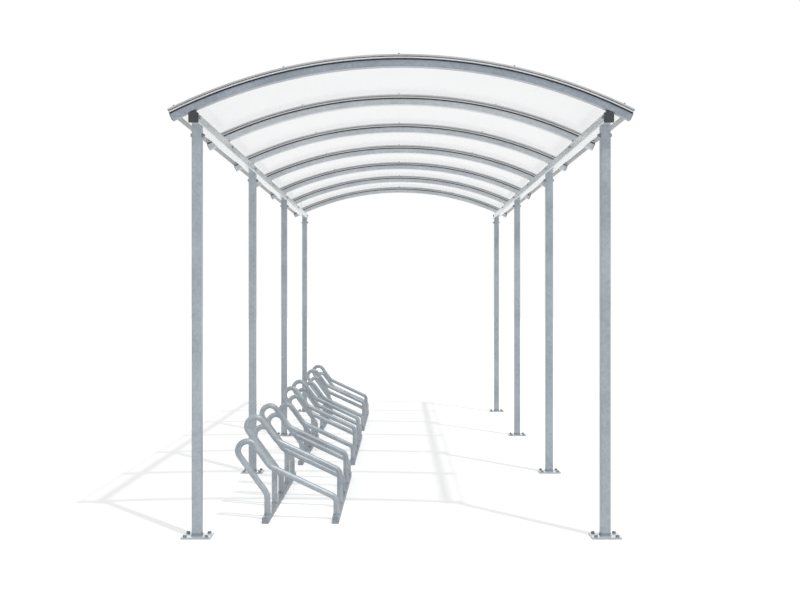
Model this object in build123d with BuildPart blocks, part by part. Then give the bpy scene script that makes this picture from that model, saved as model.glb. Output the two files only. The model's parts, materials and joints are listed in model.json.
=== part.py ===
from build123d import *
from math import cos, radians, sin, sqrt, tan
import os

# Bike shelter of galvanised steel with a curved clear roof and three tube racks.
# Millimetres, +Z up. The origin is on the ground under the middle of the roof,
# +Y runs along the shelter and the racks stand on the -X side.

# Bays and post rows
bay_length = 2000
bay_count = 3
row_spacing = 2095

# Square posts on base plates
post_width = 50
post_wall = 3
post_corner = 5
plate_width = 150
plate_depth = 120
plate_thickness = 10
plate_corner = 4
anchor_spacing_across = 110
anchor_spacing_along = 90
anchor_hole = 14

# Beams on top of the posts, each with a stub that goes down into every post
beam_underside = 2113
beam_width = 50
beam_height = 50
beam_wall = 3
beam_corner = 5
stub_length = 110
stub_wall = 3
stub_corner = 4
stub_clearance = 0.5
through_bolt_drop = 50
through_bolt_hole = 12

# Curved ribs across the shelter, the end ones a little beyond the end posts
ribs_per_bay = 2
rib_overhang = 75
rib_width = 45
rib_height = 35
rib_wall = 2.5
rib_corner = 4
rib_inner_radius = 2585
rib_to_beam_edge = 1.6
roof_half_angle = 26.5
seat_width = 18
seat_length = 36

# Roof stack on each rib, from the rib upwards
gasket_thickness = 5
bar_width = 60
bar_thickness = 6
sheet_thickness = 5
cap_edge_height = 5
cap_height = 11
cap_top_width = 42
sheet_edge_inset = 3
sheet_joint_gap = 16

# Trim on the lower edge of each sheet
trim_wall = 2
trim_depth = 20
trim_clearance = 0.3
trim_end_clearance = 3

# Plastic plugs in the open tube ends
plug_flange = 5
plug_depth = 20
plug_clearance = 0.4
plug_edge = 1.5
plug_overlap = 1
rib_plug_flange = 3
rib_plug_depth = 15
rib_plug_edge = 1

# Racks: two rails on the ground and the bent hoops that stand on them
rack_hoop_count = 5
hoop_pitch = 332
rack_shift = 67
rail_rear_x = -739
rail_front_x = -357
rail_width = 35
rail_wall = 3
rail_end_overhang = 92
rail_vent_hole = 10
rail_vent_inset = 20
hoop_tube = 33.7
hoop_tube_wall = 2.6
hoop_lean = 36
hoop_branch_gap = 103
hoop_rear_bend_height = 145
hoop_front_bend_height = 126
hoop_slope = 25.2
hoop_branch_length = 259
hoop_rise = 95
hoop_top_share = 0.98
hoop_rear_bend_radius = 70
hoop_middle_bend_radius = 70
hoop_front_bend_radius = 42

# Places worked out from the sizes above
row_x = [-row_spacing / 2, row_spacing / 2]
post_y = [(index - bay_count / 2) * bay_length for index in range(bay_count + 1)]
rib_count = ribs_per_bay * bay_count + 1
rib_pitch = (bay_count * bay_length + 2 * rib_overhang) / (rib_count - 1)
rib_y = [(index - (rib_count - 1) / 2) * rib_pitch for index in range(rib_count)]
roof_length = (rib_count - 1) * rib_pitch + rib_width
beam_middle = beam_underside + beam_height / 2
beam_top = beam_underside + beam_height
through_bolt_height = beam_underside - through_bolt_drop
beam_outer_x = row_spacing / 2 + beam_width / 2
roof_centre_z = beam_top + rib_to_beam_edge - sqrt(rib_inner_radius**2 - beam_outer_x**2)
rib_outer_radius = rib_inner_radius + rib_height
gasket_radius = rib_outer_radius + gasket_thickness
bar_radius = gasket_radius + bar_thickness
sheet_radius = bar_radius + sheet_thickness
roof_cosine = cos(radians(roof_half_angle))
roof_sine = sin(radians(roof_half_angle))

# The roof sections are drawn as Y and radius on this plane, at the -X end of the
# arc, and carried round this axis to the +X end.
roof_start = Plane(
    origin=(0, 0, roof_centre_z),
    x_dir=(0, 1, 0),
    z_dir=(roof_cosine, 0, roof_sine),
)
roof_axis = Axis((0, 0, roof_centre_z), (0, 1, 0))


def tube_plug(width, height, corner, wall, overlap, flange, depth, edge):
    """A plastic plug: its flange stands on Z = 0 and its body goes down into the tube."""
    with BuildPart() as plug:
        with BuildSketch(Plane.XY):
            RectangleRounded(width + 2 * overlap, height + 2 * overlap, corner + overlap)
        extrude(amount=flange)
        chamfer(plug.faces().sort_by(Axis.Z)[-1].edges(), edge)
        with BuildSketch(Plane.XY):
            RectangleRounded(
                width - 2 * wall - 2 * plug_clearance,
                height - 2 * wall - 2 * plug_clearance,
                corner - wall,
            )
        extrude(amount=-depth)
    return plug.part


def roof_end_plane(side, y, radius):
    """The plane across a roof bar at its end, facing outwards along the bar."""
    return Plane(
        origin=(side * radius * roof_sine, y, roof_centre_z + radius * roof_cosine),
        x_dir=(0, 1, 0),
        z_dir=(side * roof_cosine, 0, -roof_sine),
    )


def rack_hoop(y, rise):
    """One bent tube in the plane at y: a rear leg that leans outwards, a half turn at
    the top, and a front branch that comes down and slopes to the front leg."""
    lean = Vector(-sin(radians(hoop_lean)), 0, cos(radians(hoop_lean)))
    across = Vector(cos(radians(hoop_lean)), 0, sin(radians(hoop_lean)))
    rear_foot = Vector(rail_rear_x, y, rail_width)
    rear_bend = Vector(rail_rear_x, y, hoop_rear_bend_height + rise)
    rear_top = rear_bend + lean * (hoop_branch_length + hoop_branch_gap / 2)
    front_top = rear_top + across * hoop_branch_gap
    front_bend = Vector(rail_front_x, y, hoop_front_bend_height + rise)
    front_foot = Vector(rail_front_x, y, rail_width)

    # The front branch runs down beside the rear one until it meets the gentle slope
    # that rises from the front bend.
    slope = tan(radians(hoop_slope))
    run_down = front_top.Z - front_bend.Z - slope * (front_bend.X - front_top.X)
    middle_bend = front_top - lean * (run_down / (lean.Z + slope * lean.X))
    top_bend_radius = hoop_top_share * hoop_branch_gap / 2

    with BuildPart() as hoop:
        with BuildLine() as route:
            FilletPolyline(
                rear_foot,
                rear_bend,
                rear_top,
                front_top,
                middle_bend,
                front_bend,
                front_foot,
                radius=[
                    hoop_rear_bend_radius,
                    top_bend_radius,
                    top_bend_radius,
                    hoop_middle_bend_radius,
                    hoop_front_bend_radius,
                ],
            )
        with BuildSketch(Plane(origin=rear_foot, z_dir=(0, 0, 1))):
            Circle(hoop_tube / 2)
            Circle(hoop_tube / 2 - hoop_tube_wall, mode=Mode.SUBTRACT)
        sweep(path=route.line)
    return hoop.part


os.makedirs("parts", exist_ok=True)

# Base plates, each with four anchor holes
post_places = [(x, y) for x in row_x for y in post_y]
with BuildPart() as base_plates:
    with BuildSketch(Plane.XY):
        with Locations(post_places):
            RectangleRounded(plate_width, plate_depth, plate_corner)
            with GridLocations(anchor_spacing_across, anchor_spacing_along, 2, 2):
                Circle(anchor_hole / 2, mode=Mode.SUBTRACT)
    extrude(amount=plate_thickness)
base_plates.part.label = "base_plates"
export_step(base_plates.part, "parts/base_plates.step")

# Posts, open square tubes with a cross hole for the bolt that holds the stub
for side_name, x in zip(["left", "right"], row_x):
    for number, y in enumerate(post_y, start=1):
        with BuildPart() as post:
            with BuildSketch(Plane.XY.offset(plate_thickness)):
                with Locations((x, y)):
                    RectangleRounded(post_width, post_width, post_corner)
                    RectangleRounded(
                        post_width - 2 * post_wall,
                        post_width - 2 * post_wall,
                        post_corner - post_wall,
                        mode=Mode.SUBTRACT,
                    )
            extrude(amount=beam_underside - plate_thickness)
            with BuildSketch(Plane(origin=(x, y, through_bolt_height), z_dir=(1, 0, 0))):
                Circle(through_bolt_hole / 2)
            extrude(amount=post_width, both=True, mode=Mode.SUBTRACT)
        post.part.label = f"post_{side_name}_{number}"
        export_step(post.part, f"parts/post_{side_name}_{number}.step")

# Stubs under the beams, a sliding fit inside the post tops
stub_width = post_width - 2 * post_wall - 2 * stub_clearance
with BuildPart() as beam_stubs:
    with BuildSketch(Plane.XY.offset(beam_underside - stub_length)):
        with Locations(post_places):
            RectangleRounded(stub_width, stub_width, stub_corner)
            RectangleRounded(
                stub_width - 2 * stub_wall,
                stub_width - 2 * stub_wall,
                stub_corner - stub_wall,
                mode=Mode.SUBTRACT,
            )
    extrude(amount=stub_length)
    for x, y in post_places:
        with BuildSketch(Plane(origin=(x, y, through_bolt_height), z_dir=(1, 0, 0))):
            Circle(through_bolt_hole / 2)
        extrude(amount=post_width, both=True, mode=Mode.SUBTRACT)
beam_stubs.part.label = "beam_stubs"
export_step(beam_stubs.part, "parts/beam_stubs.step")

# Beams along both rows
for side_name, x in zip(["left", "right"], row_x):
    with BuildPart() as beam:
        with BuildSketch(Plane.XZ):
            with Locations((x, beam_middle)):
                RectangleRounded(beam_width, beam_height, beam_corner)
                RectangleRounded(
                    beam_width - 2 * beam_wall,
                    beam_height - 2 * beam_wall,
                    beam_corner - beam_wall,
                    mode=Mode.SUBTRACT,
                )
        extrude(amount=roof_length / 2, both=True)
    beam.part.label = f"beam_{side_name}"
    export_step(beam.part, f"parts/beam_{side_name}.step")

# Plastic caps that close the four beam ends
beam_plug = tube_plug(
    beam_width, beam_height, beam_corner, beam_wall, plug_overlap, plug_flange, plug_depth, plug_edge
)
with BuildPart() as beam_end_caps:
    for x in row_x:
        for end in [-1, 1]:
            beam_end = Plane(
                origin=(x, end * roof_length / 2, beam_middle),
                x_dir=(1, 0, 0),
                z_dir=(0, end, 0),
            )
            with Locations(beam_end):
                add(beam_plug)
beam_end_caps.part.label = "beam_end_caps"
export_step(beam_end_caps.part, "parts/beam_end_caps.step")

# Seats between the beam tops and the ribs, cut to the curve of the rib
with BuildPart() as rib_seats:
    for y in rib_y:
        with BuildSketch(Plane.XZ.offset(-y)):
            with Locations([(x, beam_top + rib_height / 2) for x in row_x]):
                Rectangle(seat_width, rib_height)
            with Locations((0, roof_centre_z)):
                Circle(rib_inner_radius, mode=Mode.INTERSECT)
        extrude(amount=seat_length / 2, both=True)
rib_seats.part.label = "rib_seats"
export_step(rib_seats.part, "parts/rib_seats.step")

# Curved ribs, open rectangular tubes
for number, y in enumerate(rib_y, start=1):
    with BuildPart() as rib:
        with BuildSketch(roof_start):
            with Locations((y, rib_inner_radius + rib_height / 2)):
                RectangleRounded(rib_width, rib_height, rib_corner)
                RectangleRounded(
                    rib_width - 2 * rib_wall,
                    rib_height - 2 * rib_wall,
                    rib_corner - rib_wall,
                    mode=Mode.SUBTRACT,
                )
        revolve(axis=roof_axis, revolution_arc=2 * roof_half_angle)
    rib.part.label = f"rib_{number}"
    export_step(rib.part, f"parts/rib_{number}.step")

# Plastic plugs in both ends of every rib
rib_plug = tube_plug(
    rib_width, rib_height, rib_corner, rib_wall, 0, rib_plug_flange, rib_plug_depth, rib_plug_edge
)
with BuildPart() as rib_end_plugs:
    for y in rib_y:
        for side in [-1, 1]:
            with Locations(roof_end_plane(side, y, rib_inner_radius + rib_height / 2)):
                add(rib_plug)
rib_end_plugs.part.label = "rib_end_plugs"
export_step(rib_end_plugs.part, "parts/rib_end_plugs.step")

# Rubber gaskets on the ribs
with BuildPart() as rib_gaskets:
    with BuildSketch(roof_start):
        with Locations([(y, rib_outer_radius + gasket_thickness / 2) for y in rib_y]):
            Rectangle(rib_width, gasket_thickness)
    revolve(axis=roof_axis, revolution_arc=2 * roof_half_angle)
rib_gaskets.part.label = "rib_gaskets"
export_step(rib_gaskets.part, "parts/rib_gaskets.step")

# Lower glazing bars, which the sheets lie on
with BuildPart() as glazing_bars:
    with BuildSketch(roof_start):
        with Locations([(y, gasket_radius + bar_thickness / 2) for y in rib_y]):
            Rectangle(bar_width, bar_thickness)
    revolve(axis=roof_axis, revolution_arc=2 * roof_half_angle)
glazing_bars.part.label = "glazing_bars"
export_step(glazing_bars.part, "parts/glazing_bars.step")

# Clear sheets: each joint is over the middle of a rib, and the end sheets run out
# to just short of the edge of the end bars.
for number in range(1, rib_count):
    first = rib_y[number - 1] + sheet_joint_gap / 2
    last = rib_y[number] - sheet_joint_gap / 2
    if number == 1:
        first = rib_y[0] - bar_width / 2 + sheet_edge_inset
    if number == rib_count - 1:
        last = rib_y[-1] + bar_width / 2 - sheet_edge_inset
    with BuildPart() as roof_sheet:
        with BuildSketch(roof_start):
            with Locations(((first + last) / 2, bar_radius + sheet_thickness / 2)):
                Rectangle(last - first, sheet_thickness)
        revolve(axis=roof_axis, revolution_arc=2 * roof_half_angle)
    roof_sheet.part.label = f"roof_sheet_{number}"
    export_step(roof_sheet.part, f"parts/roof_sheet_{number}.step")

# Upper glazing caps, with bevelled shoulders
for number, y in enumerate(rib_y, start=1):
    with BuildPart() as glazing_cap:
        with BuildSketch(roof_start):
            with BuildLine():
                Polyline(
                    (y - bar_width / 2, sheet_radius),
                    (y + bar_width / 2, sheet_radius),
                    (y + bar_width / 2, sheet_radius + cap_edge_height),
                    (y + cap_top_width / 2, sheet_radius + cap_height),
                    (y - cap_top_width / 2, sheet_radius + cap_height),
                    (y - bar_width / 2, sheet_radius + cap_edge_height),
                    close=True,
                )
            make_face()
        revolve(axis=roof_axis, revolution_arc=2 * roof_half_angle)
    glazing_cap.part.label = f"glazing_cap_{number}"
    export_step(glazing_cap.part, f"parts/glazing_cap_{number}.step")

# Channel trims that close the lower edges of the sheets between the ribs
trim_slot = sheet_thickness + 2 * trim_clearance
trim_height = trim_slot + 2 * trim_wall
trim_length = rib_pitch - bar_width - 2 * trim_end_clearance
for side_name, side in zip(["left", "right"], [-1, 1]):
    with BuildPart() as eave_trim:
        for number in range(1, rib_count):
            middle_y = (rib_y[number - 1] + rib_y[number]) / 2
            sheet_end = roof_end_plane(side, middle_y, bar_radius + sheet_thickness / 2)
            with BuildSketch(sheet_end):
                Rectangle(trim_length, trim_height)
            extrude(amount=trim_wall)
            with BuildSketch(sheet_end):
                Rectangle(trim_length, trim_height)
                Rectangle(trim_length, trim_slot, mode=Mode.SUBTRACT)
            extrude(amount=-trim_depth)
    eave_trim.part.label = f"eave_trim_{side_name}"
    export_step(eave_trim.part, f"parts/eave_trim_{side_name}.step")

# Racks, one in each bay
rail_length = (rack_hoop_count - 1) * hoop_pitch + 2 * rail_end_overhang
for number in range(1, bay_count + 1):
    rack_y = (post_y[number - 1] + post_y[number]) / 2 + rack_shift

    # Closed box rails, vented through the underside near both ends
    with BuildPart() as rails:
        with BuildSketch(Plane.XY):
            with Locations((rail_rear_x, rack_y), (rail_front_x, rack_y)):
                Rectangle(rail_width, rail_length)
        extrude(amount=rail_width)
        with BuildSketch(Plane.XY.offset(rail_wall)):
            with Locations((rail_rear_x, rack_y), (rail_front_x, rack_y)):
                Rectangle(rail_width - 2 * rail_wall, rail_length - 2 * rail_wall)
        extrude(amount=rail_width - 2 * rail_wall, mode=Mode.SUBTRACT)
        with BuildSketch(Plane.XY):
            with Locations((rail_rear_x, rack_y), (rail_front_x, rack_y)):
                with GridLocations(0, rail_length - 2 * rail_vent_inset, 1, 2):
                    Circle(rail_vent_hole / 2)
        extrude(amount=rail_wall, mode=Mode.SUBTRACT)
    rails.part.label = f"rack_{number}_rails"
    export_step(rails.part, f"parts/rack_{number}_rails.step")

    # Bent hoops, low and high by turns
    with BuildPart() as hoops:
        for place in range(rack_hoop_count):
            hoop_y = rack_y + (place - (rack_hoop_count - 1) / 2) * hoop_pitch
            add(rack_hoop(hoop_y, hoop_rise * (place % 2)))
    hoops.part.label = f"rack_{number}_hoops"
    export_step(hoops.part, f"parts/rack_{number}_hoops.step")
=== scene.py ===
# %% [markdown]
# A galvanised bike shelter with a curved clear roof
#
# The real shelter is bolted together from hot-dip galvanised square tube: eight posts
# on base plates, two beams, and seven arched ribs that carry bent clear sheets between
# aluminium glazing bars. Three low tube racks stand in it. The big shapes come as a
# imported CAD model, so this lesson is about the rest: finishes that look like zinc,
# aluminium, rubber and clear plastic, and the small fixings that hold it together.
#
# The CAD pieces stay where they are. They could be remade here, but then the picture
# and the solids would drift apart, so only their materials change.

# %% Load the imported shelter
import json
from math import cos, pi, radians

import bmesh
import bpy
from mathutils import Matrix, Vector


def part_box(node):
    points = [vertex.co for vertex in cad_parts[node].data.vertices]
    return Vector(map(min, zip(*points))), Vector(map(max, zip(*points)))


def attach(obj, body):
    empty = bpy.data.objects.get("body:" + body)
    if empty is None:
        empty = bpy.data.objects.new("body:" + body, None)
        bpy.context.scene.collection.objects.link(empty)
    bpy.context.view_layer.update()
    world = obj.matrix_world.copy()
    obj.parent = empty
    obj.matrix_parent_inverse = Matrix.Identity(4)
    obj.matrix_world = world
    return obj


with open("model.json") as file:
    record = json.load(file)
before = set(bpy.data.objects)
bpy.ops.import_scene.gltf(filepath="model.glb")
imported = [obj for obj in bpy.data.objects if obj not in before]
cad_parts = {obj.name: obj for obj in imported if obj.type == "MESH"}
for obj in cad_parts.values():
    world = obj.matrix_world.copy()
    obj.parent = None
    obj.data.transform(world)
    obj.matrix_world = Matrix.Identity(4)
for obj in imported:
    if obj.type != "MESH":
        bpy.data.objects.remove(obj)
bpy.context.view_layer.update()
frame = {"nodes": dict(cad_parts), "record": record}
nodes = frame["nodes"]

# %% [markdown]
# Colours and nodes
#
# Paint charts and photographs give colours as sRGB hex values, but a shader socket
# wants linear light. One function turns the one into the other, so every colour below
# can be read and compared as a hex value.
#
# Every material is a small tree of nodes. They could be wired by hand each time, but
# one function that adds a node, sets it and links it keeps each tree short to read.


# %% Hex colours to linear light
def linear(hex_colour):
    """The linear RGBA of an sRGB hex colour."""
    channels = [int(hex_colour[place:place + 2], 16) / 255 for place in (1, 3, 5)]
    light = [c / 12.92 if c <= 0.04045 else ((c + 0.055) / 1.055) ** 2.4 for c in channels]
    return (*light, 1.0)


print("mid grey in linear light:", round(linear("#808080")[0], 3))


# %% Add one node with its settings and links
def add_node(material, kind, inputs=None, stops=(), **settings):
    """Adds a node. An input takes a value or the output that feeds it, and a colour
    ramp takes its stops as (position, hex colour), from low to high."""
    tree = material.node_tree
    node = tree.nodes.new(kind)
    for setting, value in settings.items():
        setattr(node, setting, value)
    for socket, value in (inputs or {}).items():
        if isinstance(value, bpy.types.NodeSocket):
            tree.links.new(value, node.inputs[socket])
        else:
            node.inputs[socket].default_value = value
    for number, (position, hex_colour) in enumerate(stops):
        if number == len(node.color_ramp.elements):
            node.color_ramp.elements.new(position)
        node.color_ramp.elements[number].position = position
        node.color_ramp.elements[number].color = linear(hex_colour)
    return node


# %% Start a material
def new_material(name):
    """An empty material, and the output with the piece's own coordinates in metres."""
    material = bpy.data.materials.new(name)
    material.use_nodes = True
    material.node_tree.nodes.clear()
    return material, add_node(material, "ShaderNodeTexCoord").outputs["Object"]


# %% [markdown]
# Hot-dip galvanised steel
#
# The tubes are dipped in molten zinc after they are welded. The zinc freezes in flat
# crystals, the spangle, which catch the light one by one, and over the years a dull
# grey bloom spreads over them in soft clouds. So the eye sees a cool mid grey that is
# never quite even: faint facets 10 to 15 mm across within patches about a hand wide.
#
# A photograph of zinc could be wrapped on, but it would show seams at every corner. A
# Voronoi pattern in the piece's own metres gives the crystals at their real size on
# every face, and a soft noise gives the clouds. Old zinc is part metal and part pale
# zinc salts, so the shader is only half metallic. A blend by the way the face looks
# paints light into the colour as a pale grey: one share on faces that look up, as painted
# sky light, and another on those that look down, as painted light thrown up from the
# pale ground. Where shoes and tyres rub a level face, it is smoother and mirrors what
# stands on it.


# %% Zinc skins
def galvanised(
    name, stops, spangle_mm, cloud_mm, metallic, roughness, painted_light_shares, rubbed=0.0, pebbles_mm=0.05
):
    """Zinc with crystals and dull clouds of the sizes given, with shares of painted light,
    a pale grey on the faces that look up and down, smoother by a share where it is rubbed
    on top, and with pebbles of the depth given."""
    material, place = new_material(name)
    crystals = add_node(
        material, "ShaderNodeTexVoronoi", {"Vector": place, "Scale": 1000 / spangle_mm}
    )
    crystal_tone = add_node(
        material, "ShaderNodeSeparateColor", {"Color": crystals.outputs["Color"]}
    ).outputs["Red"]
    clouds = add_node(
        material, "ShaderNodeTexNoise",
        {"Vector": place, "Scale": 1000 / cloud_mm, "Detail": 3.0, "Roughness": 0.5},
    ).outputs["Fac"]

    # The clouds weigh three times as much in the colour as the single crystals.
    tone = add_node(
        material, "ShaderNodeMix", {"Factor": 0.76, "A": crystal_tone, "B": clouds}
    ).outputs["Result"]
    colour = add_node(material, "ShaderNodeValToRGB", {"Fac": tone}, stops=stops)
    shine = add_node(
        material, "ShaderNodeMapRange",
        {"Value": crystal_tone, "To Min": roughness[0], "To Max": roughness[1]},
    )

    # A normal's Z is 1 on a level face that looks up and -1 on one that looks down, and
    # 0.7 on a slope of 45 degrees, where the painted light and the wear end.
    slope, level = 0.7, 1.0
    facing = add_node(
        material, "ShaderNodeSeparateXYZ",
        {"Vector": add_node(material, "ShaderNodeNewGeometry").outputs["Normal"]},
    ).outputs["Z"]
    looks_up = add_node(
        material, "ShaderNodeMapRange",
        {"Value": facing, "From Min": slope, "From Max": level, "To Max": painted_light_shares[0]},
    )
    looks_down = add_node(
        material, "ShaderNodeMapRange",
        {"Value": facing, "From Min": -slope, "From Max": -level, "To Max": painted_light_shares[1]},
    )
    painted_light_mask = add_node(
        material, "ShaderNodeMath",
        {0: looks_up.outputs["Result"], 1: looks_down.outputs["Result"]}, operation="ADD",
    )
    # Faces that look up or down are paled towards #E9ECEE: painted sky light on top, painted light
    # from the ground underneath.
    painted_light_colour = add_node(
        material, "ShaderNodeMix",
        {0: painted_light_mask.outputs["Value"], 6: colour.outputs["Color"], 7: linear("#E9ECEE")},
        data_type="RGBA",
    )
    wear = add_node(
        material, "ShaderNodeMapRange",
        {"Value": facing, "From Min": slope, "From Max": level, "To Min": 1.0,
         "To Max": 1.0 - rubbed},
    )
    worn_shine = add_node(
        material, "ShaderNodeMath",
        {0: shine.outputs["Result"], 1: wear.outputs["Result"]}, operation="MULTIPLY",
    )

    # The pebbles of the zinc skin are about 4 mm wide.
    pebbles = add_node(
        material, "ShaderNodeTexNoise", {"Vector": place, "Scale": 250.0, "Detail": 2.0}
    )
    relief = add_node(
        material, "ShaderNodeBump",
        {"Height": pebbles.outputs["Fac"], "Distance": pebbles_mm / 1000},
    )
    zinc = add_node(
        material, "ShaderNodeBsdfPrincipled",
        {
            "Base Color": painted_light_colour.outputs[2],
            "Metallic": metallic,
            "Roughness": worn_shine.outputs["Value"],
            "Normal": relief.outputs["Normal"],
        },
    )
    add_node(material, "ShaderNodeOutputMaterial", {"Surface": zinc.outputs["BSDF"]})
    return material


# %% Galvanised steel of the posts and stubs
# The last pair of shares paints light on the faces that look up and down.
galvanised_steel = galvanised(
    "hot_dip_galvanised_steel",
    [(0.30, "#9BA4AC"), (0.5, "#A7B0B8"), (0.70, "#B2BBC2")],
    spangle_mm=13, cloud_mm=230, metallic=0.5, roughness=(0.38, 0.52), painted_light_shares=(0.6, 0.3),
)
print("made", galvanised_steel.name)

# %% [markdown]
# Lit and shaded copies of the zinc
#
# The front rib, the ribs behind it and the beams are lit and shaded copies of one zinc.
# The same function makes them all: the front rib darker, as painted shade, the others
# paler and the beams palest, as painted light thrown up under the roof. The beams are
# also so smooth that each mirrors the tops of its posts.

# %% Galvanised steel of the front rib
# The darker stops on the front rib are painted shade.
painted_shade_rib_zinc = galvanised(
    "galvanised_rib_painted_shade",
    [(0.30, "#8D97A1"), (0.5, "#99A2AC"), (0.70, "#A5AEB7")],
    spangle_mm=13, cloud_mm=230, metallic=0.5, roughness=(0.40, 0.54), painted_light_shares=(0.2, 0.4),
)
print("made", painted_shade_rib_zinc.name)

# %% Paler galvanised steel of the ribs and beams, as painted light
# Paler stops than the posts: painted light on the ribs behind the front one, palest on the beams.
painted_light_rib_zinc = galvanised(
    "galvanised_ribs_painted_light",
    [(0.30, "#B8BEC3"), (0.5, "#C4CACE"), (0.70, "#D0D5D9")],
    spangle_mm=13, cloud_mm=230, metallic=0.5, roughness=(0.36, 0.50), painted_light_shares=(0.1, 0.8),
)
painted_light_beam_zinc = galvanised(
    "galvanised_beams_painted_light",
    [(0.30, "#DADFE1"), (0.5, "#E2E6E8"), (0.70, "#EAEDEE")],
    spangle_mm=13, cloud_mm=230, metallic=0.6, roughness=(0.23, 0.27), painted_light_shares=(0.0, 0.2),
    pebbles_mm=0.01,
)
print("made", painted_light_rib_zinc.name, "and", painted_light_beam_zinc.name)

# %% [markdown]
# Base plates with painted light on their tops
#
# The plates lie flat on the ground. Their tops are painted nearly white, as painted sky
# light, while the sawn edges stay nearly as grey as the posts. Soles have rubbed the tops,
# so each mirrors its post.

# %% Galvanised steel of the base plates
# Faces that look up are paled fully towards near white: painted sky light on the plate tops.
painted_light_plate_zinc = galvanised(
    "galvanised_plates_painted_light_tops",
    [(0.30, "#A8B0B7"), (0.5, "#B3BBC2"), (0.70, "#BFC6CC")],
    spangle_mm=12, cloud_mm=60, metallic=0.5, roughness=(0.40, 0.54), painted_light_shares=(1.0, 0.3),
    rubbed=0.5,
)
print("made", painted_light_plate_zinc.name)

# %% [markdown]
# Galvanised rack tube
#
# The hoops are bent from thinner round tube, and everything that leans on them rubs
# them. The zinc is smoother, with a finer spangle, and a small share of painted light
# pales the tops. On the rails the same zinc is darker and duller, with a larger share of
# painted light on their tops, and tyres have rubbed those tops smoother.

# %% Galvanised steel of the racks
galvanised_rack_tube = galvanised(
    "galvanised_rack_tube",
    [(0.30, "#98A0A7"), (0.5, "#A7AFB5"), (0.70, "#B6BDC3")],
    spangle_mm=8, cloud_mm=110, metallic=0.5, roughness=(0.42, 0.52), painted_light_shares=(0.1, 0.0),
)
# The rails are darker, and their tops are paled by painted light.
darker_rail_zinc = galvanised(
    "darker_galvanised_rails_painted_light_tops",
    [(0.30, "#858D93"), (0.5, "#959CA2"), (0.70, "#A5ABB1")],
    spangle_mm=10, cloud_mm=90, metallic=0.5, roughness=(0.48, 0.62), painted_light_shares=(0.35, 0.0),
    rubbed=0.8,
)
print("made", galvanised_rack_tube.name, "and", darker_rail_zinc.name)

# %% [markdown]
# Extruded aluminium
#
# Glazing bars, caps and trims are pressed through a die. The die leaves hair lines
# along the length, too fine to see one by one, which soften the shine across the bar. A
# noise that is stretched along the bar draws them: it changes quickly across the
# shelter's length and hardly at all along the arc. The lines are drawn about 1 mm apart,
# coarser than the real ones, so that they still show from a few metres.
#
# The bars are anodised and sheltered, and stay light. The caps and the eave trims take
# all the weather: bare aluminium turns a flat grey there, so the same function gives
# them a darker, rougher finish.


# %% Aluminium from the die
def extruded_aluminium(name, stops, metallic, roughness):
    """Aluminium with die lines along the arc and slow patches of weathering."""
    material, place = new_material(name)
    along_the_arc = add_node(
        material, "ShaderNodeMapping", {"Vector": place, "Scale": (6.0, 900.0, 6.0)}
    ).outputs["Vector"]
    die_lines = add_node(
        material, "ShaderNodeTexNoise", {"Vector": along_the_arc, "Scale": 1.0, "Detail": 3.0}
    ).outputs["Fac"]
    weathering = add_node(
        material, "ShaderNodeTexNoise", {"Vector": place, "Scale": 5.0, "Detail": 3.0}
    ).outputs["Fac"]
    tone = add_node(
        material, "ShaderNodeMix", {"Factor": 0.6, "A": die_lines, "B": weathering}
    ).outputs["Result"]
    colour = add_node(material, "ShaderNodeValToRGB", {"Fac": tone}, stops=stops)
    shine = add_node(
        material, "ShaderNodeMapRange",
        {"Value": die_lines, "To Min": roughness[0], "To Max": roughness[1]},
    )
    relief = add_node(material, "ShaderNodeBump", {"Height": die_lines, "Distance": 0.00002})
    metal = add_node(
        material, "ShaderNodeBsdfPrincipled",
        {
            "Base Color": colour.outputs["Color"],
            "Metallic": metallic,
            "Roughness": shine.outputs["Result"],
            "Normal": relief.outputs["Normal"],
        },
    )
    add_node(material, "ShaderNodeOutputMaterial", {"Surface": metal.outputs["BSDF"]})
    return material


# %% Anodised bars
anodised_aluminium = extruded_aluminium(
    "anodised_extruded_aluminium", [(0.3, "#D0D2D3"), (0.7, "#E2E3E4")],
    metallic=0.6, roughness=(0.32, 0.46),
)
print("made", anodised_aluminium.name)

# %% Weathered caps and trims
weathered_aluminium = extruded_aluminium(
    "weathered_extruded_aluminium", [(0.3, "#B0B1B2"), (0.7, "#C4C5C6")],
    metallic=0.4, roughness=(0.5, 0.66),
)
print("made", weathered_aluminium.name)

# %% [markdown]
# Rubber gaskets
#
# The gasket strips are extruded EPDM, a matt black rubber. It has a faint grey bloom
# and almost no shine, so it is drawn rough, with soft patches rather than grain.

# %% Black EPDM rubber
epdm_rubber, place = new_material("extruded_epdm_rubber")
bloom = add_node(
    epdm_rubber, "ShaderNodeTexNoise", {"Vector": place, "Scale": 40.0, "Detail": 4.0}
).outputs["Fac"]
rubber_colour = add_node(
    epdm_rubber, "ShaderNodeValToRGB", {"Fac": bloom}, stops=[(0.3, "#2C2D30"), (0.75, "#3C3D41")]
)
rubber_shine = add_node(
    epdm_rubber, "ShaderNodeMapRange", {"Value": bloom, "To Min": 0.72, "To Max": 0.88}
)
rubber = add_node(
    epdm_rubber, "ShaderNodeBsdfPrincipled",
    {
        "Base Color": rubber_colour.outputs["Color"],
        "Roughness": rubber_shine.outputs["Result"],
        "IOR": 1.5,
    },
)
add_node(epdm_rubber, "ShaderNodeOutputMaterial", {"Surface": rubber.outputs["BSDF"]})
print("made", epdm_rubber.name)

# %% [markdown]
# Moulded plastic plugs
#
# The plugs in the tube ends are injection moulded polyethylene. The mould is spark
# eroded, which leaves a fine even grain and a low sheen on a charcoal black.

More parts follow.
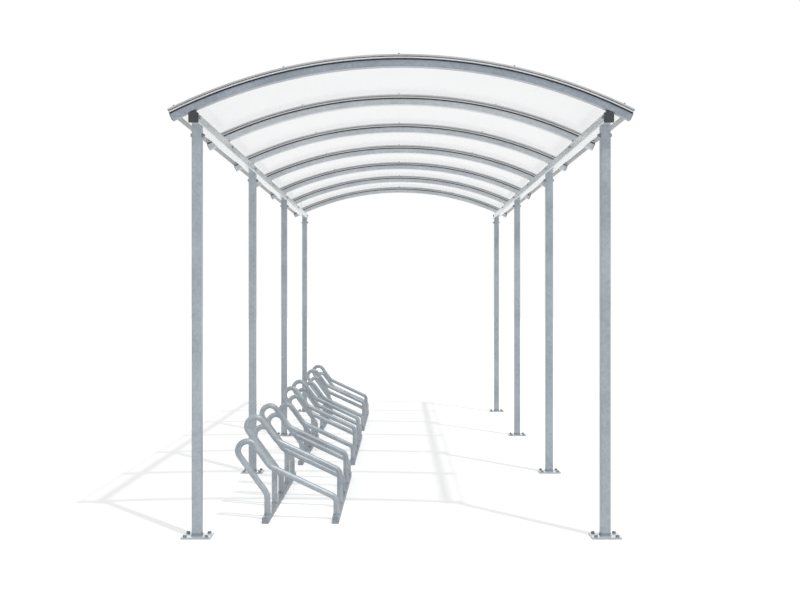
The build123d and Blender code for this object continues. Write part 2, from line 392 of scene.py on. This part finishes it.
# %% Black moulded polyethylene
moulded_plastic, place = new_material("moulded_black_polyethylene")
grain = add_node(
    moulded_plastic, "ShaderNodeTexNoise", {"Vector": place, "Scale": 1200.0, "Detail": 2.0}
).outputs["Fac"]
fading = add_node(
    moulded_plastic, "ShaderNodeTexNoise", {"Vector": place, "Scale": 30.0, "Detail": 2.0}
).outputs["Fac"]
plastic_colour = add_node(
    moulded_plastic, "ShaderNodeValToRGB", {"Fac": fading},
    stops=[(0.3, "#33363A"), (0.75, "#414448")],
)
plastic_shine = add_node(
    moulded_plastic, "ShaderNodeMapRange", {"Value": grain, "To Min": 0.42, "To Max": 0.58}
)
plastic_relief = add_node(
    moulded_plastic, "ShaderNodeBump", {"Height": grain, "Distance": 0.00003}
)
plastic = add_node(
    moulded_plastic, "ShaderNodeBsdfPrincipled",
    {
        "Base Color": plastic_colour.outputs["Color"],
        "Roughness": plastic_shine.outputs["Result"],
        "Normal": plastic_relief.outputs["Normal"],
        "IOR": 1.51,
    },
)
add_node(moulded_plastic, "ShaderNodeOutputMaterial", {"Surface": plastic.outputs["BSDF"]})
print("made", moulded_plastic.name)

# %% [markdown]
# Clear roof sheet
#
# The roof is 5 mm solid polycarbonate, bent cold over the ribs. It is clear, with a
# breath of grey from dust and weather, and it hardly shows against the sky.
#
# It could be drawn as a real refracting solid. But then every face also mirrors the
# ribs, and the daylight that the real roof lets through would no longer reach what
# stands under it. A low alpha lets light and shadow pass, and leaves a faint veil with
# a soft shine at polycarbonate's refractive index of 1.585.

# %% Clear polycarbonate
clear_polycarbonate, place = new_material("clear_solid_polycarbonate")
haze = add_node(
    clear_polycarbonate, "ShaderNodeTexNoise", {"Vector": place, "Scale": 3.0, "Detail": 3.0}
).outputs["Fac"]
veil = add_node(
    clear_polycarbonate, "ShaderNodeValToRGB", {"Fac": haze},
    stops=[(0.3, "#E0E5E8"), (0.7, "#EAEEF0")],
)
sheet_shine = add_node(
    clear_polycarbonate, "ShaderNodeMapRange", {"Value": haze, "To Min": 0.06, "To Max": 0.14}
)
sheet = add_node(
    clear_polycarbonate, "ShaderNodeBsdfPrincipled",
    {
        "Base Color": veil.outputs["Color"],
        "Roughness": sheet_shine.outputs["Result"],
        "IOR": 1.585,
        "Alpha": 0.18,
    },
)
add_node(clear_polycarbonate, "ShaderNodeOutputMaterial", {"Surface": sheet.outputs["BSDF"]})
print("made", clear_polycarbonate.name)

# %% [markdown]
# Zinc plated bolts, painted welds and painted shade at the post feet
#
# Bolts, nuts and washers are electroplated: a thin, even zinc that is brighter than the
# dipped steel when new, and dulls to a plain grey. The weld beads are brushed over with
# zinc paint, which is a duller, slightly darker grey with the marks of the brush. The
# same grey on the band that rises 14 mm up each post from its plate is painted shade
# where post and plate meet.

# %% Weathered zinc plate of the fixings
zinc_plate, place = new_material("weathered_zinc_plate")
tarnish = add_node(
    zinc_plate, "ShaderNodeTexNoise", {"Vector": place, "Scale": 220.0, "Detail": 3.0}
).outputs["Fac"]
plate_colour = add_node(
    zinc_plate, "ShaderNodeValToRGB", {"Fac": tarnish}, stops=[(0.3, "#787D82"), (0.7, "#969BA0")]
)
plate_shine = add_node(
    zinc_plate, "ShaderNodeMapRange", {"Value": tarnish, "To Min": 0.32, "To Max": 0.48}
)
plating = add_node(
    zinc_plate, "ShaderNodeBsdfPrincipled",
    {
        "Base Color": plate_colour.outputs["Color"],
        "Metallic": 0.7,
        "Roughness": plate_shine.outputs["Result"],
    },
)
add_node(zinc_plate, "ShaderNodeOutputMaterial", {"Surface": plating.outputs["BSDF"]})
print("made", zinc_plate.name)

# %% Zinc paint on the welds, also the painted shade at the post feet
weld_paint_and_foot_shade, place = new_material("brushed_weld_paint_and_painted_foot_shade")
brush_marks = add_node(
    weld_paint_and_foot_shade, "ShaderNodeTexNoise", {"Vector": place, "Scale": 400.0, "Detail": 3.0}
).outputs["Fac"]
paint_colour = add_node(
    weld_paint_and_foot_shade, "ShaderNodeValToRGB", {"Fac": brush_marks},
    stops=[(0.3, "#78828B"), (0.7, "#929BA3")],
)
paint_shine = add_node(
    weld_paint_and_foot_shade, "ShaderNodeMapRange", {"Value": brush_marks, "To Min": 0.5, "To Max": 0.7}
)
paint_relief = add_node(weld_paint_and_foot_shade, "ShaderNodeBump", {"Height": brush_marks, "Distance": 0.0003})
paint = add_node(
    weld_paint_and_foot_shade, "ShaderNodeBsdfPrincipled",
    {
        "Base Color": paint_colour.outputs["Color"],
        "Metallic": 0.3,
        "Roughness": paint_shine.outputs["Result"],
        "Normal": paint_relief.outputs["Normal"],
    },
)
add_node(weld_paint_and_foot_shade, "ShaderNodeOutputMaterial", {"Surface": paint.outputs["BSDF"]})
print("made", weld_paint_and_foot_shade.name)

# %% [markdown]
# Dress the CAD pieces
#
# The record says which slot each CAD piece takes its finish from. Each slot gets one of
# the materials above, set on the piece's own material slots. Where a piece has its own
# finish for its place, weathered or with light and shade painted into its colour, the
# finish for that place comes first.

# %% Give every CAD piece its material
finishes = {
    "galvanised_steel": galvanised_steel,
    "galvanised_rack_tube": galvanised_rack_tube,
    "black_plastic": moulded_plastic,
    "black_rubber": epdm_rubber,
    "mill_aluminium": anodised_aluminium,
    "weathered_aluminium": weathered_aluminium,
    "clear_polycarbonate": clear_polycarbonate,
}
by_place = {
    "base_plates": painted_light_plate_zinc,
    "beam_left": painted_light_beam_zinc,
    "beam_right": painted_light_beam_zinc,
    "rib_1": painted_shade_rib_zinc,
    "eave_trim_left": weathered_aluminium,
    "eave_trim_right": weathered_aluminium,
}
by_place.update({f"rib_{number}": painted_light_rib_zinc for number in range(2, 8)})
by_place.update({f"rack_{number}_rails": darker_rail_zinc for number in (1, 2, 3)})
for piece in frame["record"]["subparts"]:
    node = piece["node"]
    for material_slot in nodes[node].material_slots:
        material_slot.material = by_place.get(node, finishes[piece["material_slot"]])

# %% [markdown]
# How the fixings are made
#
# A bolt, nut or washer is a turned or six-sided shape that is used many times. Each is
# modelled once, standing at the origin, and stamped wherever one belongs: a turned
# shape is half a section that is spun round the Z axis, and a hexagon is a six-sided
# circle that is pulled up. The copies of one kind go into one mesh, which keeps the
# list of pieces short.


# %% Spin a half section round Z
def turned(profile, steps=24):
    """A closed turned shape from (radius, height) points in millimetres."""
    shape = bmesh.new()
    corners = [shape.verts.new((radius / 1000, 0, height / 1000)) for radius, height in profile]
    edges = [shape.edges.new(pair) for pair in zip(corners, corners[1:])]
    if profile[0][0] > 0:
        edges.append(shape.edges.new((corners[-1], corners[0])))
    bmesh.ops.spin(
        shape, geom=corners + edges, cent=(0, 0, 0), axis=(0, 0, 1), angle=2 * pi,
        steps=steps, use_merge=True,
    )
    bmesh.ops.remove_doubles(shape, verts=shape.verts, dist=1e-6)
    bmesh.ops.recalc_face_normals(shape, faces=shape.faces)
    return shape


# %% Pull up a hexagon with a bevelled top
def hexagon(across_flats, bottom, top, edge=0.8):
    """A six-sided head or nut between two heights in millimetres."""
    shape = bmesh.new()
    corner_radius = across_flats / 2 / cos(radians(30)) / 1000
    bmesh.ops.create_circle(shape, cap_ends=True, segments=6, radius=corner_radius)
    raised = bmesh.ops.extrude_face_region(shape, geom=shape.faces[:])["geom"]
    top_corners = [item for item in raised if isinstance(item, bmesh.types.BMVert)]
    bmesh.ops.translate(shape, vec=(0, 0, (top - bottom) / 1000), verts=top_corners)
    bmesh.ops.translate(shape, vec=(0, 0, bottom / 1000), verts=shape.verts)
    rim = [side for side in shape.edges if all(corner in top_corners for corner in side.verts)]
    bmesh.ops.bevel(
        shape, geom=rim, offset=edge / 1000, offset_type="OFFSET", segments=1,
        profile=0.5, affect="EDGES", material=-1,
    )
    bmesh.ops.recalc_face_normals(shape, faces=shape.faces)
    return shape


# %% Join a few shapes into one fixing
def joined(*shapes):
    """One mesh from several shapes, kept as a stamp."""
    whole = bmesh.new()
    for shape in shapes:
        part = bpy.data.meshes.new("part_of_stamp")
        shape.to_mesh(part)
        shape.free()
        whole.from_mesh(part)
        bpy.data.meshes.remove(part)
    stamp = bpy.data.meshes.new("stamp")
    whole.to_mesh(stamp)
    whole.free()
    return stamp


# %% Put a stamped piece into the shelter
def place_piece(name, stamp, places, material, crease=35):
    """One object with a copy of the stamp at each place, riding on the shelter."""
    whole = bmesh.new()
    for matrix in places:
        before = len(whole.verts)
        whole.from_mesh(stamp)
        whole.verts.ensure_lookup_table()
        bmesh.ops.transform(whole, matrix=matrix, verts=whole.verts[before:])
    mesh = bpy.data.meshes.new(name)
    whole.to_mesh(mesh)
    whole.free()
    bpy.data.meshes.remove(stamp)
    mesh.polygons.foreach_set("use_smooth", [True] * len(mesh.polygons))
    mesh.set_sharp_from_angle(angle=radians(crease))
    mesh.materials.append(material)
    piece = bpy.data.objects.new(name, mesh)
    bpy.context.scene.collection.objects.link(piece)
    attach(piece, "root")
    print("made", name, "with", len(places), "copies,", len(mesh.polygons), "faces")


# %% [markdown]
# Where things are
#
# The fixings sit on the CAD pieces, so their places are read from the boxes of the
# pieces that carry them: the two rows from the beams, the posts and ribs one by one.


# %% Places of the posts and ribs
def middle(node, axis):
    """The middle of a CAD piece along one axis, 0 for X or 1 for Y."""
    low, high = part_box(node)
    return (low[axis] + high[axis]) / 2


row_x = [middle("beam_left", 0), middle("beam_right", 0)]
post_y = [middle(f"post_left_{number}", 1) for number in range(1, 5)]
rib_y = [middle(f"rib_{number}", 1) for number in range(1, 8)]
post_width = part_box("post_left_1")[1].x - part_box("post_left_1")[0].x
beam_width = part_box("beam_left")[1].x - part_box("beam_left")[0].x
plate_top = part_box("base_plates")[1].z
beam_underside, beam_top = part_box("beam_left")[0].z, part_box("beam_left")[1].z
print("rows at", [round(x, 4) for x in row_x], "ribs at", [round(y, 3) for y in rib_y])

# %% [markdown]
# Anchors in the base plates
#
# Each plate is held down by four screw anchors: a hexagon head with a washer pressed
# on under it, and a 12 mm shank that goes down through the hole. A studded anchor would
# stand up twice as high as the photograph shows. No two heads on a plate stop at the
# same angle, so each is turned 17 degrees further than the one before.

# %% Make and place the 32 anchors
anchor_across, anchor_along = 0.110, 0.090
shank_and_washer = [
    (0, -9.5), (6.0, -9.5), (6.0, 0.2), (10.4, 0.2), (11.0, 0.7), (10.6, 1.6), (9.0, 2.2), (0, 2.2),
]
anchor = joined(turned(shank_and_washer), hexagon(17, 2.0, 10.0, 1.0))
uneven_turn = 17
anchor_places = [
    Matrix.Translation((x + across * anchor_across / 2, y + along * anchor_along / 2, plate_top))
    @ Matrix.Rotation(radians(uneven_turn * number), 4, "Z")
    for x in row_x for y in post_y
    for number, (across, along) in enumerate([(-1, -1), (1, -1), (1, 1), (-1, 1)])
]
place_piece("plate_anchors", anchor, anchor_places, zinc_plate)

# %% [markdown]
# Bolts through the post tops
#
# An M10 bolt crosses each post 50 mm under the beam and holds the stub inside. The head
# is on the outside of the shelter and the nut on the inside, where few people see it.
# The end of the thread is turned as a few rings 1.5 mm apart, since a true helix can't
# be told from rings at this size.

# %% Make and place the bolt heads and nuts
washer_m10 = [(5.5, 0), (9.5, 0), (10, 0.4), (10, 1.6), (9.5, 2.0), (5.5, 2.0)]
bolt_head = joined(turned(washer_m10), hexagon(17, 2.0, 8.4, 0.8))
thread_pitch = 1.5
shank = [(0, -24), (4.9, -24), (4.9, 10.0)]
for ring in range(3):
    shank += [(4.3, 10.6 + ring * thread_pitch), (5.0, 11.3 + ring * thread_pitch)]
shank += [(4.0, 15.0), (0, 15.0)]
bolt_nut = joined(turned(washer_m10), hexagon(17, 2.0, 10.4, 0.8), turned(shank, 18))
below_the_beam = 0.050
bolt_z = beam_underside - below_the_beam


def on_the_side(x, y, z, width, side):
    """A place on the face of a tube at x, looking outwards from it to -X or +X."""
    on_the_face = Matrix.Translation((x + side * width / 2, y, z))
    return on_the_face @ Matrix.Rotation(radians(90 * side), 4, "Y")


rows = [(row_x[0], -1), (row_x[1], 1)]
head_places = [
    on_the_side(x, y, bolt_z, post_width, outwards) for x, outwards in rows for y in post_y
]
nut_places = [
    on_the_side(x, y, bolt_z, post_width, -outwards) for x, outwards in rows for y in post_y
]
place_piece("post_bolt_heads", bolt_head, head_places, zinc_plate)
place_piece("post_bolt_nuts", bolt_nut, nut_places, zinc_plate)

# %% [markdown]
# Screws in the beams under the ribs
#
# Under each rib a self-tapping M8 screw goes into the inner face of the beam, for the
# clip that holds the rib down. It has a hexagon head on a wide washer.

# %% Make and place the beam screws
beam_screw = joined(
    turned([(0, -2), (3.8, -2), (3.8, 0), (9.5, 0), (10, 0.4), (10, 1.2), (9.5, 1.6), (0, 1.6)]),
    hexagon(13, 1.4, 7.0, 0.7),
)
below_the_top = 0.019
screw_z = beam_top - below_the_top
screw_places = [
    on_the_side(x, y, screw_z, beam_width, -outwards) for x, outwards in rows for y in rib_y
]
place_piece("beam_screws", beam_screw, screw_places, zinc_plate)

# %% [markdown]
# Screws on the roof
#
# Five screws clamp each glazing cap to its rib. Each has a dished washer with a rubber
# face under its hexagon head, so that rain stays out. They stand square on the arc, so
# each is turned about the roof's axis to its own angle. The middle one stands 12 mm left
# of the crown.

# %% Make and place the roof screws and their rubber washers
cap_radius = 2.647
crown_screw_angle, screw_spacing_angle = -0.25, 12.75
roof_axis_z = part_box("glazing_cap_1")[1].z - cap_radius
screw_angles = [crown_screw_angle + screw_spacing_angle * step for step in (-2, -1, 0, 1, 2)]
on_the_arc = [
    Matrix.Translation((0, y, roof_axis_z)) @ Matrix.Rotation(radians(angle), 4, "Y")
    @ Matrix.Translation((0, 0, cap_radius))
    for y in rib_y for angle in screw_angles
]
roof_screw = joined(
    turned([(3, 1.2), (8.0, 1.2), (8.0, 1.8), (5.2, 3.4), (3, 3.4)]),
    hexagon(8, 3.4, 9.6, 0.5),
)
roof_washer = joined(turned([(2.8, 0), (7.6, 0), (7.6, 1.2), (2.8, 1.2)]))
place_piece("roof_screws", roof_screw, on_the_arc, zinc_plate)
place_piece("roof_screw_washers", roof_washer, on_the_arc, epdm_rubber)

# %% [markdown]
# Weld beads and painted shade at the post feet
#
# Posts are welded all round to their plates, and each hoop leg to its rail. A bead is a
# small fillet that fills the corner. Round a tube it is a small four-cornered section
# that is spun. Round a square post it is the rounded square of the post, pulled outwards
# at the plate and back in above it. A thin film of the darker weld grey goes 14 mm up
# the post as a band of painted shade where post and plate meet.


# %% Weld beads round the post feet, with a band of painted shade
def square_bead(width, corner, leg, lap):
    """A fillet round a square tube that stands on Z = 0, with a thin film that laps up the
    tube to a height as a band of painted shade, in millimetres."""
    shape = bmesh.new()
    bmesh.ops.create_circle(shape, segments=4, radius=width / 2 / cos(radians(45)) / 1000)
    square_on = Matrix.Rotation(radians(45), 3, "Z")
    bmesh.ops.rotate(shape, cent=(0, 0, 0), matrix=square_on, verts=shape.verts)
    bmesh.ops.bevel(
        shape, geom=shape.verts[:], offset=corner / 1000, offset_type="OFFSET", segments=6,
        profile=0.5, affect="VERTICES", material=-1,
    )
    rings = [shape.edges[:]]
    reach = 1.0
    film = 0.3
    # The last ring is a film 0.3 mm thick up the post to the lap height: a band of painted shade at
    # its foot.
    for further, height in ((leg, film), (0.55 * leg, 0.62 * leg), (film, leg), (film, lap)):
        wider = 1 + 2 * further / width
        pulled = bmesh.ops.extrude_edge_only(shape, edges=rings[-1])["geom"]
        corners = [item for item in pulled if isinstance(item, bmesh.types.BMVert)]
        bmesh.ops.scale(shape, vec=(wider / reach, wider / reach, 1), verts=corners)
        for corner_point in corners:
            corner_point.co.z = height / 1000
        reach = wider
        rings.append([item for item in pulled if isinstance(item, bmesh.types.BMEdge)])
    bmesh.ops.bridge_loops(shape, edges=rings[0] + rings[-1])
    bmesh.ops.recalc_face_normals(shape, faces=shape.faces)
    return shape


round_the_post = post_width * 1000 + 0.2
post_bead = joined(square_bead(round_the_post, corner=5, leg=4, lap=14))
foot_places = [Matrix.Translation((x, y, plate_top)) for x in row_x for y in post_y]
place_piece("post_weld_beads_and_painted_foot_shade", post_bead, foot_places, weld_paint_and_foot_shade, crease=60)


# %% Weld beads round the hoop legs
def trimmed(shape, half_width):
    """Cuts a shape off flat at both sides in X, as the bead ends at the rail's edges."""
    for side in (-1, 1):
        everything = shape.verts[:] + shape.edges[:] + shape.faces[:]
        bmesh.ops.bisect_plane(
            shape, geom=everything, dist=1e-7, plane_co=(side * half_width / 1000, 0, 0),
            plane_no=(side, 0, 0), clear_outer=True,
        )
        open_edges = [edge for edge in shape.edges if edge.is_boundary]
        bmesh.ops.holes_fill(shape, edges=open_edges)
    bmesh.ops.recalc_face_normals(shape, faces=shape.faces)
    return shape


rail_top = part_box("rack_1_rails")[1].z
rail_half = 17.5
leg_radius = 16.9
hoops_in_rack, hoop_pitch = 5, 0.332
bead_section = [
    (leg_radius, 0), (leg_radius + 4.0, 0.2), (leg_radius + 2.4, 2.4), (leg_radius, 4.4),
]
hoop_bead = joined(trimmed(turned(bead_section, 28), rail_half))
leg_places = []
for number in (1, 2, 3):
    rails = f"rack_{number}_rails"
    low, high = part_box(rails)
    for step in range(hoops_in_rack):
        y = middle(rails, 1) + (step - (hoops_in_rack - 1) / 2) * hoop_pitch
        for x in (low.x + rail_half / 1000, high.x - rail_half / 1000):
            leg_places.append(Matrix.Translation((x, y, rail_top)))
place_piece(
    "hoop_weld_beads", hoop_bead, leg_places, weld_paint_and_foot_shade, crease=60
)

# %% [markdown]
# Floor and light
#
# The shelter is shown on plain white, as in a catalogue. The floor is a wide pale disc
# that takes real light, so it throws that light back up at the beams and ribs as a pale
# ground does. Where the camera, a mirror or a clear sheet sees it, a glow on top lifts
# it to white, and only soft shadows stay below white. The world does the same: plain
# white to look at, a softer light to be lit by. A sun 60 degrees up, three times as wide
# as the real one, adds light from the front right, and its shadows have soft edges.

# %% Make the floor
bare_floor = bmesh.new()
bmesh.ops.create_circle(bare_floor, cap_ends=True, segments=96, radius=60)
floor_mesh = bpy.data.meshes.new("studio_floor")
bare_floor.to_mesh(floor_mesh)
bare_floor.free()
floor = bpy.data.objects.new("studio_floor", floor_mesh)
bpy.context.scene.collection.objects.link(floor)


# %% Is the surface looked at, and not only lit by?
def looked_at(material, unseen, seen):
    """One strength for soft light, and another for camera, mirror and clear-sheet rays."""
    rays = add_node(material, "ShaderNodeLightPath")
    eye = rays.outputs["Is Camera Ray"]
    for kind in ("Is Glossy Ray", "Is Transmission Ray"):
        eye = add_node(
            material, "ShaderNodeMath", {0: eye, 1: rays.outputs[kind]}, operation="MAXIMUM"
        ).outputs["Value"]
    strength = add_node(
        material, "ShaderNodeMapRange", {"Value": eye, "To Min": unseen, "To Max": seen}
    )
    return strength.outputs["Result"]


# %% White floor that keeps the shadow
floor_white = bpy.data.materials.new("matt_white_floor")
floor_white.use_nodes = True
floor_white.node_tree.nodes.clear()
glow = add_node(
    floor_white, "ShaderNodeEmission",
    {"Color": linear("#FFFFFF"), "Strength": looked_at(floor_white, 0.0, 0.40)},
)
matt = add_node(floor_white, "ShaderNodeBsdfDiffuse", {"Color": linear("#E7E7E7")})
both = add_node(
    floor_white, "ShaderNodeAddShader", {0: glow.outputs["Emission"], 1: matt.outputs["BSDF"]}
)
add_node(floor_white, "ShaderNodeOutputMaterial", {"Surface": both.outputs["Shader"]})
floor_mesh.materials.append(floor_white)
print("made", floor.name)

# %% White world
world = bpy.data.worlds.new("white_studio")
bpy.context.scene.world = world
world.use_nodes = True
world.node_tree.nodes.clear()
sky = add_node(
    world, "ShaderNodeBackground",
    {"Color": linear("#FFFFFF"), "Strength": looked_at(world, 0.58, 1.0)},
)
add_node(world, "ShaderNodeOutputWorld", {"Surface": sky.outputs["Background"]})
print("made", world.name)

# %% Wide sun from the front right
sun_data = bpy.data.lights.new("wide_sun", "SUN")
sun_data.energy = 1.25
sun_data.angle = radians(1.5)
towards_the_sun = Vector((0.312, -0.394, 0.864))
sun = bpy.data.objects.new("wide_sun", sun_data)
sun.rotation_euler = towards_the_sun.to_track_quat("Z", "Y").to_euler()
bpy.context.scene.collection.objects.link(sun)
print("made", sun.name)

# %% [markdown]
# Camera
#
# The photograph looks straight along the shelter from a little above waist height. The
# posts' edges and the beams' ends fix the lens and the place: 1037 pixels of focal
# length over an 800 pixel frame is a 46.7 mm lens on a 36 mm sensor.

# %% Place the camera
focal_pixels, frame_pixels = 1037, 800
camera_data = bpy.data.cameras.new("camera")
camera_data.sensor_width = 36.0
camera_data.lens = focal_pixels / frame_pixels * camera_data.sensor_width
camera_data.clip_end = 200.0
camera = bpy.data.objects.new("camera", camera_data)
camera.location = (-0.006, -8.3275, 1.2175)
camera.rotation_euler = (radians(90), 0, 0)
bpy.context.scene.collection.objects.link(camera)
bpy.context.scene.camera = camera
bpy.context.scene.view_settings.view_transform = "Standard"
print("camera at", [round(value, 3) for value in camera.location])
